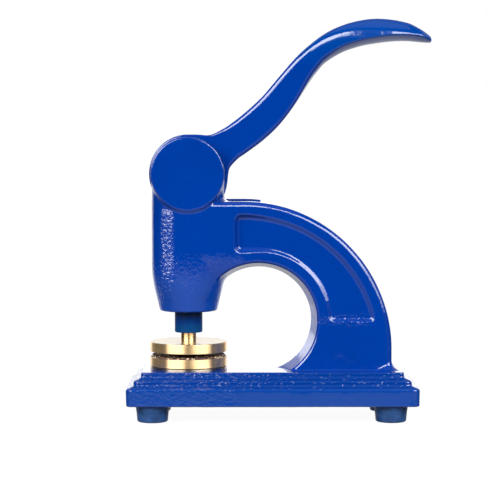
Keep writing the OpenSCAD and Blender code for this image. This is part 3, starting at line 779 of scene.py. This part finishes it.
# ---------------------------------------------------------------- ram and small pieces
def f_ram(x, y, z):
    ax = x - RX
    rho = np.hypot(ax, y)
    f = rmax(rho - 9.0, 54.8 - z, 0.7)
    f = np.maximum(f, z - 126)
    f = np.minimum(f, rmax(rho - 13.0, np.abs(z - 127.37) - 3.0, 0.4))
    f = cut(f, np.maximum(rho - 5.02, z - 72.8), 0.3)
    f = cut(f, np.maximum(rho - 3.05, 122.37 - z), 0.3)
    f = cut(f, np.maximum(np.maximum(np.abs(ax) - 2.1, 7.0 - y), np.abs(z - 82) - 10), 0.3)
    return cut(f, np.maximum(np.hypot(ax, z - 61) - 2.55, 3 - y), 0.3)


solid("ram_enamel", f_ram, (RX - 14, -14, 53.8), (RX + 14, 14, 131.4), 0.55,
      M_RAM, "ram", ["ram"], lambda x, y, z: f_ram(x, y, z) - 0.03 * noise(x, y, z, 6.0, 31), 60000)


def f_axle(x, y, z):
    q = np.hypot(x - RX, z - PZ)
    f = rmax(q - 6.0, -19.8 - y, 0.7)
    f = np.maximum(f, y - 26)
    f = np.minimum(f, rmax(q - 9.5, np.abs(y - 26.6) - 1.6, 0.6))
    return cut(f, np.maximum(np.abs(z - PZ) - 0.9, 26.8 - y), 0.25)


solid("pivot_axle_steel", f_axle, (RX - 10.4, -20.6, PZ - 10.4), (RX + 10.4, 29, PZ + 10.4), 0.42,
      M_STEEL_Y, "frame", ["pivot_axle"])


def f_guide(x, y, z):
    q = np.hypot(x - RX, z - 82.0)
    ridge = 0.16 * np.cos((y - 9.0) * 2 * math.pi / 0.8) * sstep(y, 11.0, 12.0)
    f = rmax(q - 2.82 - ridge, y - 31.0, 0.4)
    f = np.maximum(f, 9.3 - y)
    f = np.minimum(f, rmax(q - 2.0, np.abs(y - 9.0) - 1.75, 0.3))
    return cut(f, np.maximum(np.abs(z - 82.0) - 0.5, 29.6 - y), 0.15)


solid("ram_guide_screw_steel", f_guide, (RX - 3.7, 6.4, 78.3), (RX + 3.7, 31.7, 85.7), 0.2,
      M_BLACK, "frame", ["ram_guide_screw"])


def f_nut(x, y, z):
    ax, az = x - RX, z - 82.0
    hexa = np.maximum(np.abs(az), np.maximum(np.abs(az * 0.5 + ax * 0.8660254), np.abs(az * 0.5 - ax * 0.8660254))) - 5.0
    q = np.hypot(ax, az)
    f = rmax(hexa, np.abs(y - 25.9) - 2.4, 0.25)
    f = smax(f, (q - 5.35) * 0.5 + (y - 28.3) * 0.86, 0.3)
    return cut(f, q - 3.05, 0.35)


solid("guide_locknut_steel", f_nut, (RX - 6.4, 22.8, 75.6), (RX + 6.4, 28.9, 88.4), 0.25,
      M_NUT, "frame", ["guide_locknut"])

# die stem
prof, nor = rounded([(0, 44.9), (2.95, 44.9), (2.95, 48.92), (5, 48.92), (5, 72.7), (0, 72.7)], [0, .3, .05, .15, .5, 0])
lathe("die_stem_brass", prof, nor, (RX, 0, 0), M_STEM, "ram", ["die_stem"], 72)

# lower die, its seat
prof, nor = rounded([(3, 32.82), (25, 32.82), (25, 39.2), (0, 39.2), (0, 37.6), (3, 37.6)], [.2, .45, .45, 0, 0, .2], closed=True)


def turned_solid(name, pts, radii, centre, mat, body, replaced, sides=144, seg=5):
    p, n = rounded(pts, radii, seg)
    return lathe(name, p, n, centre, mat, body, replaced, sides)


low_die = turned_solid("lower_die_brass", [(0, 37.6), (3, 37.6), (3, 32.82), (24.2, 32.82), (24.25, 33.42), (25, 33.45), (25, 39.2), (0, 39.2)],
                       [0, .2, .25, .05, .05, .12, .4, 0], (RX, 0, 0), M_DIE_LOW, "frame", ["lower_die"])
split_faces(low_die, M_DIE_FACE)
low_die.data.materials.append(M_GROOVE)
# the rabbet's faces get the painted shade
for f in low_die.data.polygons:
    c = f.center * 1000.0
    if c.z < 33.5 and math.hypot(c.x - RX, c.y) > 20 and (c.z < 33.40 or abs(f.normal.z) > 0.7):
        f.material_index = 2
p, n = rounded([(3.25, 31.72), (24.9, 31.72), (24.9, 32.8), (3.25, 32.8)], [.1, .05, .15, .1], 4, closed=True)
lathe("lower_die_seat_brass", p, n, (RX, 0, 0), M_SEAT, "frame", ["lower_die_seat"], 144, closed=True)


# ---------------------------------------------------------------- the working faces
def star(r, th, n, rmaj, rmin_):
    """Signed size of a pointed star, positive inside, in mm."""
    s = math.pi / n
    t = np.abs((th % (2 * s)) - s)        # s at the tips, 0 in the valleys
    t = s - t
    ax_, az_ = r * np.cos(t), r * np.sin(t)
    p0, p1 = np.array([rmaj, 0.0]), np.array([rmin_ * math.cos(s), rmin_ * math.sin(s)])
    d = p1 - p0
    nrm = np.array([d[1], -d[0]]) / np.linalg.norm(d)
    if nrm @ p0 < 0:
        nrm = -nrm
    return -((ax_ - p0[0]) * nrm[0] + (az_ - p0[1]) * nrm[1])


def figure(r, th, radius=22.0, soft=0.28):
    """1 on the ring and the star, 0 elsewhere."""
    ring = radius * 0.04 - np.abs(r - radius * 0.88)
    s = star(r, th, 12, radius * 0.62, radius * 0.36)
    return sstep(np.maximum(ring, s), -soft, soft)


def disc_face(radii_list, sides, height, side_down):
    """Rings of a round face about the ram's axis with its height given by height(r, angle)."""
    a = np.arange(sides) * 2 * math.pi / sides
    rows, P = [], [(0, 0, float(height(np.array([0.0]), np.array([0.0]))[0]))]
    for r in radii_list:
        rows.append(np.arange(len(P), len(P) + sides))
        z = height(np.full(sides, r), a)
        P += list(zip(r * np.cos(a), r * np.sin(a), z))
    faces = []
    for j in range(sides):
        k = (j + 1) % sides
        faces.append([0, rows[0][j], rows[0][k]])
        for r0, r1 in zip(rows[:-1], rows[1:]):
            faces.append([r0[j], r1[j], r1[k], r0[k]])
    if side_down:
        faces = [f[::-1] for f in faces]
    return P, rows, faces


def with_rim(P, rows, faces, rim, side_down):
    """Adds rings (r, z) outside a disc face, the last one closed at the middle."""
    sides = len(rows[0])
    a = np.arange(sides) * 2 * math.pi / sides
    P = list(P)
    last = rows[-1]
    for r, z in rim:
        if callable(z):
            zz = z(a)
        else:
            zz = np.full(sides, z)
        rr = r(a) if callable(r) else np.full(sides, float(r))
        if not callable(r) and r < 1e-6:
            c = len(P)
            P.append((0, 0, float(zz[0])))
            for j in range(sides):
                f = [last[j], c, last[(j + 1) % sides]]
                faces.append(f[::-1] if side_down else f)
            continue
        now = np.arange(len(P), len(P) + sides)
        P += list(zip(rr * np.cos(a), rr * np.sin(a), zz))
        for j in range(sides):
            k = (j + 1) % sides
            f = [last[j], now[j], now[k], last[k]]
            faces.append(f[::-1] if side_down else f)
        last = now
    return np.array(P, float), faces


fine_sides = 288
pad_sides = 480
rs = np.concatenate([np.arange(0.6, 24.3, 0.42), [24.55]])


def die_under(r, a):
    return 42.6 + 0.6 * figure(r, a)


P, rows, faces = disc_face(rs, fine_sides, die_under, True)
arc = [(24.6 + 0.4 * math.sin(t), 43.0 - 0.4 * math.cos(t)) for t in np.linspace(0.2, math.pi / 2, 5)]
arc2 = [(24.6 + 0.4 * math.cos(t), 48.5 + 0.4 * math.sin(t)) for t in np.linspace(0, math.pi / 2, 6)]
P, faces = with_rim(P, rows, faces, arc + [(25.0, 43.3), (25.0, 48.2)] + arc2 + [(24.3, 48.9), (12.0, 48.9), (5.2, 48.9), (0.0, 48.9)], True)
up = make_mesh("upper_die_brass", P + np.array([RX, 0, 0]), faces, None, M_DIE_UP)
split_faces(up, M_DIE_FACE)
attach(up, "ram"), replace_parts(up, "upper_die"), up


def rough_angle(a, size, seed, r=22.0):
    return noise(r * np.cos(a), r * np.sin(a), 0 * a, size, seed)


def pad_top(r, a):
    x, y = r * np.cos(a), r * np.sin(a)
    worn = 0.10 * noise(x, y, 0 * x, 1.5, 41) + 0.07 * noise(x, y, 0 * x, 0.7, 42)
    rim = sstep(r, 20.6, 21.6)
    flat = 40.18 + 0.48 * figure(r, a, soft=0.22) + worn * (0.5 + 0.5 * figure(r, a))
    crumbs = 40.45 + 0.42 * noise(x, y, 0 * x, 1.1, 43) + 0.20 * noise(x, y, 0 * x, 0.5, 44)
    return np.minimum(flat * (1 - rim) + crumbs * rim, 40.78)


rs = np.concatenate([np.arange(0.5, 20.6, 0.36), np.arange(20.7, 23.0, 0.22)])
P, rows, faces = disc_face(rs, pad_sides, pad_top, False)


def ragged(base, amount, seed):
    return lambda a: base + amount * rough_angle(a, 0.9, seed) + 0.6 * amount * rough_angle(a, 2.4, seed + 1)


P, faces = with_rim(P, rows, faces, [
    (ragged(23.4, 0.2, 51), ragged(40.25, 0.28, 53)), (ragged(23.6, 0.35, 55), ragged(39.9, 0.16, 57)),
    (ragged(24.0, 0.5, 59), ragged(39.5, 0.10, 61)), (ragged(24.25, 0.6, 63), 39.23), (21.0, 39.2), (0.0, 39.2)], False)
pad = make_mesh("counter_pad_compound", P + np.array([RX, 0, 0]), faces, None, M_PAD)
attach(pad, "frame"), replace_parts(pad, "counter_pad"), pad

# ---------------------------------------------------------------- feet
for i, tx in enumerate(("left", "right")):
    for j, ty in ((-1, "front"), (1, "rear")):
        p, n = rounded([(5.8, 0.0), (9.7, 0.0), (10.2, 5.5), (11.0, 10.8), (2.6, 10.8), (2.6, 4.5), (5.8, 4.5)],
                       [0.5, 1.1, 4.0, 0.5, 0.2, 0.3, 0.3], 5, closed=True)
        ob = lathe(f"foot_{ty}_{tx}_rubber", p, n, (FOOT_X[i], j * FOOT_Y, 0), M_RUBBER, "frame", [f"foot_{ty}_{tx}"], 96, closed=True)

# ---------------------------------------------------------------- the return spring
turns, z0, z1 = 7, 98.62, 123.25
end = 2.32
open_pitch = (z1 - z0 - 2 * end) / (turns - 2)


def coil_height(t):
    return z0 + (t * end if t <= 1 else end + (turns - 2) * open_pitch + (t - turns + 1) * end if t >= turns - 1 else end + (t - 1) * open_pitch)


steps, sides = ((44, 14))
count = turns * steps
P, N, faces = [], [], []
for i in range(count + 1):
    t = i / steps
    a = 2 * math.pi * t
    for k in range(sides):
        b = 2 * math.pi * k / sides
        n = (math.cos(b) * math.cos(a), math.cos(b) * math.sin(a), math.sin(b))
        z = coil_height(t) + 1.1 * n[2]
        P.append((RX + 11 * math.cos(a) + 1.1 * n[0], 11 * math.sin(a) + 1.1 * n[1], min(max(z, 97.55), 124.33)))
        N.append(n)
    if i < count:
        for k in range(sides):
            m = (k + 1) % sides
            faces.append([i * sides + k, (i + 1) * sides + k, (i + 1) * sides + m, i * sides + m])
for ring, s in ((0, -1), (count, 1)):
    c = [ring * sides + k for k in range(sides)]
    faces.append(c if s < 0 else c[::-1])
spring = make_mesh("return_spring_wire", P, faces, None, M_SPRING)
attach(spring, "frame"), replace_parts(spring, "return_spring"), spring
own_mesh(spring)

# ---------------------------------------------------------------- CAD pieces that stay, with their finish
CARRIED = {
    "lever_bush": M_BUSH, "axle_set_screw": M_BLACK, "thrust_pad": M_STEEL, "spring_washer": M_STEEL,
    "stem_set_screw": M_BLACK, "lower_die_screw": M_BLACK, "die_screw_washer": M_STEEL, "die_locating_pins": M_STEEL,
    "foot_screws": M_STEEL, "foot_washers": M_STEEL,
}
for node, mat in CARRIED.items():
    ob = NODES[node]
    ob.data.materials.clear()
    ob.data.materials.append(mat)

# ---------------------------------------------------------------- floor
bpy.ops.mesh.primitive_plane_add(size=1.0, location=(0, 0, -0.0002))
floor = bpy.context.object
floor.name = "studio_floor"
floor.scale = (60, 60, 1)
m = bpy.data.materials.new("pale_floor")
m.use_nodes = True
m.node_tree.nodes.clear()
t = Tree(m.node_tree)
out = t.node("ShaderNodeOutputMaterial")
glow = t.node("ShaderNodeEmission")
glow.inputs["Color"].default_value = rgb(1, 1, 1)
glow.inputs["Strength"].default_value = 0.95
dif = t.node("ShaderNodeBsdfDiffuse")
dif.inputs["Color"].default_value = rgb(0.05, 0.05, 0.051)
addn = t.node("ShaderNodeAddShader")
m.node_tree.links.new(glow.outputs[0], addn.inputs[0])
m.node_tree.links.new(dif.outputs[0], addn.inputs[1])
m.node_tree.links.new(addn.outputs[0], out.inputs[0])
floor.data.materials.append(m)
for flag in ("visible_diffuse", "visible_glossy", "visible_transmission", "visible_shadow"):
    setattr(floor, flag, False)

# ---------------------------------------------------------------- soft studio light all round, as a world
world = bpy.data.worlds.new("studio")
bpy.context.scene.world = world
world.use_nodes = True
world.node_tree.nodes.clear()
t = Tree(world.node_tree)
out = t.node("ShaderNodeOutputWorld")
co = t.node("ShaderNodeTexCoord").outputs["Generated"]
sep = t.node("ShaderNodeSeparateXYZ", None, Vector=co)
dx, dy, dz = sep.outputs
az = t.math("MULTIPLY", t.math("ARCTAN2", dx, t.math("MULTIPLY", dy, -1.0)), 57.29578)   # 0 towards the front, + to the right
el = t.math("MULTIPLY", t.math("ARCSINE", dz), 57.29578)


def window(v, a, b, soft):
    return t.math("MULTIPLY", t.ramp(v, a - soft / 2, a + soft / 2), t.ramp(v, b + soft / 2, b - soft / 2))


def box_light(az0, az1, el0, el1, power, soft=6.0, soft_el=10.0):
    w = t.math("MULTIPLY", window(az, az0, az1, soft), window(el, el0, el1, soft_el))
    return t.math("MULTIPLY", w, power)


def fade(v, lo_v, hi_v, soft):
    """1 between lo_v and hi_v, 0 outside."""
    return window(v, lo_v, hi_v, soft)


back_az = t.math("SUBTRACT", 180.0, t.math("ABSOLUTE", az))        # 0 straight behind
parts = [
    box_light(-67, -15, 8, 21, 6.5, 3.0, 5.0),                       # softbox, front left
    box_light(-67, -11, 21, 40, 11.6, 6.0, 4.0),                      # its bright upper part
    box_light(24, 70, 8, 21, 5.5, 3.0, 5.0),                         # softbox, front right
    box_light(12, 68, 21, 43, 10.2, 8.0, 4.0),
    box_light(-66, -17, -12, 8, 0.15, 4.0, 4.0),                      # what the table gives back of them
    box_light(27, 70, -12, 8, 0.12, 4.0, 4.0),
    box_light(-13, 13, -23, -13, 0.4, 8.0, 4.0),
    box_light(-15, 16, 30, 50, 0.2, 4.0, 6.0),                       # dim gap between them
    box_light(-15, 24, 14, 25, 0.2, 4.0, 3.0),
    box_light(-112, -67, 8, 45, 0.12, 8.0, 6.0),
    box_light(-165, -120, 5, 45, 0.55, 8.0),
    box_light(70, 106, 8, 45, 0.05, 8.0),
    box_light(110, 142, 5, 45, 0.45, 8.0),
    t.math("MULTIPLY", t.ramp(back_az, 44, 30), t.math("MULTIPLY", window(el, 1.0, 15, 2.0), 2.0)),   # pale backdrop, low down
    t.math("MULTIPLY", t.ramp(back_az, 44, 30), t.math("MULTIPLY", window(el, 15, 60, 2.0), 0.12)),
    t.math("MULTIPLY", t.ramp(back_az, 44, 30), t.math("MULTIPLY", window(el, 15, 32, 2.0), 0.35)),
    t.math("MULTIPLY", t.ramp(el, 60, 68), 0.3),
    0.004,
]
# pale table: all round below the horizon, from further down at the front
down_back = t.math("MULTIPLY", t.ramp(back_az, 48, 30), t.math("MULTIPLY", t.ramp(el, 1.5, 0.5), 0.7))
down_back = t.math("ADD", down_back, t.math("MULTIPLY", t.math("MULTIPLY", t.ramp(back_az, 44, 30), 0.28), window(el, -12, 0.5, 1.5)))
down_left = t.math("MULTIPLY", t.ramp(az, -60, -100), t.ramp(el, -3.0, -14.0, 0.0, 0.12))
down_right = t.math("MULTIPLY", window(az, 70, 200, 16), t.ramp(el, -3.0, -14.0, 0.0, 0.10))
down_side = t.math("MAXIMUM", down_left, down_right)
down_front = t.math("ADD", t.ramp(el, -7.6, -9.6, 0.0, 0.34), t.ramp(el, -12.0, -26.0, 0.0, 0.08))
down_front = t.math("MULTIPLY", down_front, t.ramp(t.math("ABSOLUTE", az), 84, 52, 0.30, 1.0))
parts.append(t.math("MAXIMUM", down_back, t.math("MAXIMUM", down_side, down_front)))
total = parts[0]
for q in parts[1:]:
    total = t.math("ADD", total, q)
bg = t.node("ShaderNodeBackground")
bg.inputs["Color"].default_value = rgb(1, 1, 1)
t.put(bg.inputs["Strength"], total)
pale = t.node("ShaderNodeBackground")
pale.inputs["Color"].default_value = rgb(1, 1, 1)
pale.inputs["Strength"].default_value = 1.0
path = t.node("ShaderNodeLightPath")
fill = t.math("MULTIPLY", path.outputs["Is Diffuse Ray"], t.math("MULTIPLY", t.ramp(dy, 0.05, 0.6), 2.1))
t.put(bg.inputs["Strength"], t.math("ADD", total, fill))
mixs = t.node("ShaderNodeMixShader")
world.node_tree.links.new(path.outputs["Is Camera Ray"], mixs.inputs[0])
world.node_tree.links.new(bg.outputs[0], mixs.inputs[1])
world.node_tree.links.new(pale.outputs[0], mixs.inputs[2])
world.node_tree.links.new(mixs.outputs[0], out.inputs[0])

scene = bpy.context.scene
scene.view_settings.view_transform = "Standard"
scene.view_settings.look = "None"

# ---------------------------------------------------------------- camera at the photograph's angle
cam_data = bpy.data.cameras.new("camera")
cam = bpy.data.objects.new("camera", cam_data)
scene.collection.objects.link(cam)
cam_data.sensor_width = 36.0
cam_data.lens = 127.885
cam.location = (-0.02834, -1.12281, 0.17078)
pitch, yaw, roll = math.radians(3.0005), math.radians(-0.26668), math.radians(0.0)
cam.matrix_world = (Matrix.Translation(cam.location) @ Matrix.Rotation(yaw, 4, "Z") @ Matrix.Rotation(math.radians(90) - pitch, 4, "X")
                    @ Matrix.Rotation(roll, 4, "Z"))
cam_data.clip_start, cam_data.clip_end = 0.05, 100
scene.camera = cam
